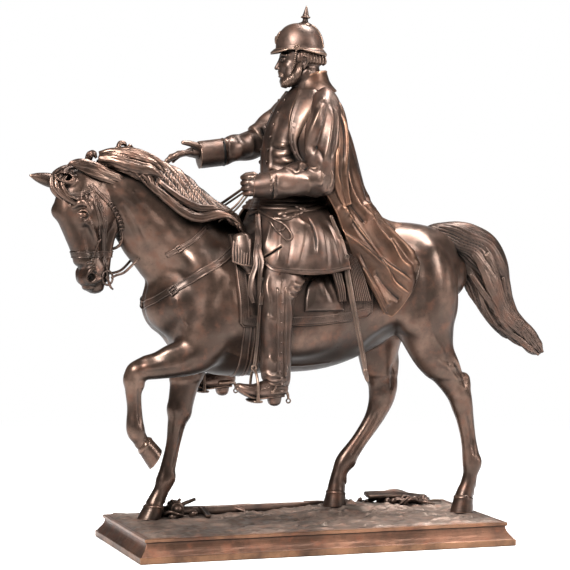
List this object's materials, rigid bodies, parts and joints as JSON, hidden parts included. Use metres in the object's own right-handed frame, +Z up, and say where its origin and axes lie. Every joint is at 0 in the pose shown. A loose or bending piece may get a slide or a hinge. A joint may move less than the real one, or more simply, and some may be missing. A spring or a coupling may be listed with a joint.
{
  "type": "equestrian bronze statuette",
  "caption": "Patinated bronze statuette of a uniformed rider with spiked helmet and open greatcoat on a walking horse, cast with a moulded oblong plinth of trodden earth.",
  "frame": {"origin": "middle of the plinth's underside", "axes": "+Z up, +X towards the horse's tail, -Y towards the horse's left side"},
  "size_m": [0.5811, 0.2028, 0.5771],
  "materials": {
    "plinth_bronze": "red-brown patinated bronze, satin, worn golden on the mouldings",
    "horse_bronze": "dark brown patinated bronze, satin",
    "rider_bronze": "brown patinated bronze, satin, rubbed coppery on the folds",
    "fittings_bronze": "brown patinated bronze, satin"
  },
  "bodies": {
    "root": {"plinth": "plinth_bronze", "horse": "horse_bronze", "rider": "rider_bronze", "sabre": "fittings_bronze", "stirrup_near": "fittings_bronze", "stirrup_far": "fittings_bronze", "rein_near": "fittings_bronze", "rein_far": "fittings_bronze"}
  },
  "joints": []
}
